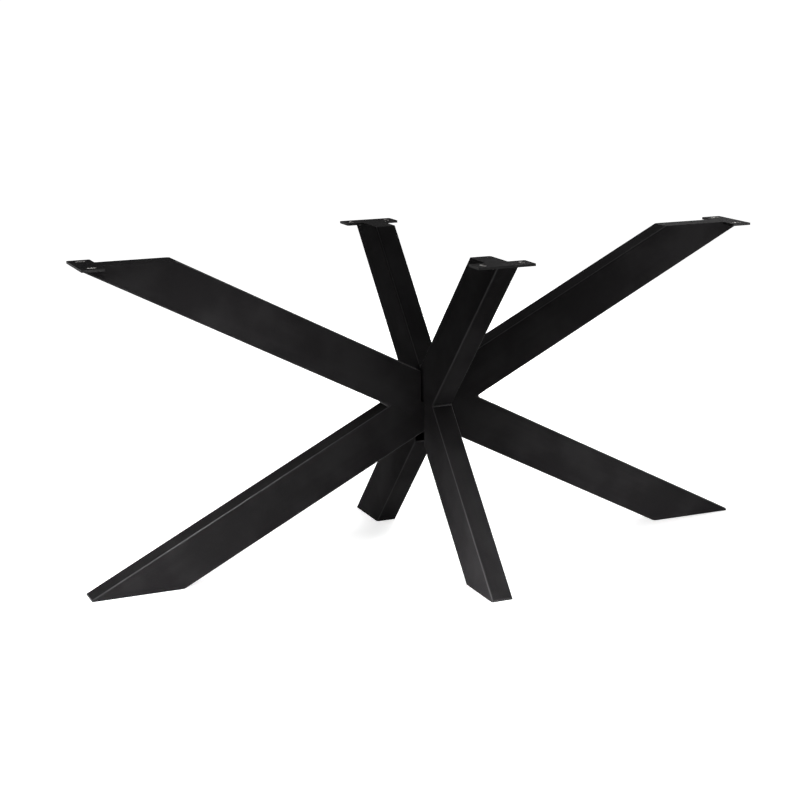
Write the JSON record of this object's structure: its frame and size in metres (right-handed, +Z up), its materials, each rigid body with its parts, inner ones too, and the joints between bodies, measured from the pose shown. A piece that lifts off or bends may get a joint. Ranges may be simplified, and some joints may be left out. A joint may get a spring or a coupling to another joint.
{
  "type": "table base",
  "caption": "Interlocking table base: crossed X-shaped frames of rectangular steel tube, with slotted mounting plates at the upper tips.",
  "frame": {"origin": "on the floor, under the point where the two frames cross", "axes": "+X along the long frame, +Y along the short frame, +Z up"},
  "size_m": [1.605, 0.74, 0.72],
  "materials": {
    "powder_coat": "satin"
  },
  "bodies": {
    "root": {"long_through_tube": "powder_coat", "long_upper_arm": "powder_coat", "long_lower_arm": "powder_coat", "short_through_tube": "powder_coat", "short_upper_arm": "powder_coat", "short_lower_arm": "powder_coat", "left_foot_plate": "powder_coat", "left_top_plate": "powder_coat", "left_mounting_plate": "powder_coat", "right_foot_plate": "powder_coat", "right_top_plate": "powder_coat", "right_mounting_plate": "powder_coat", "front_foot_plate": "powder_coat", "front_top_plate": "powder_coat", "front_mounting_plate": "powder_coat", "back_foot_plate": "powder_coat", "back_top_plate": "powder_coat", "back_mounting_plate": "powder_coat"}
  },
  "joints": []
}
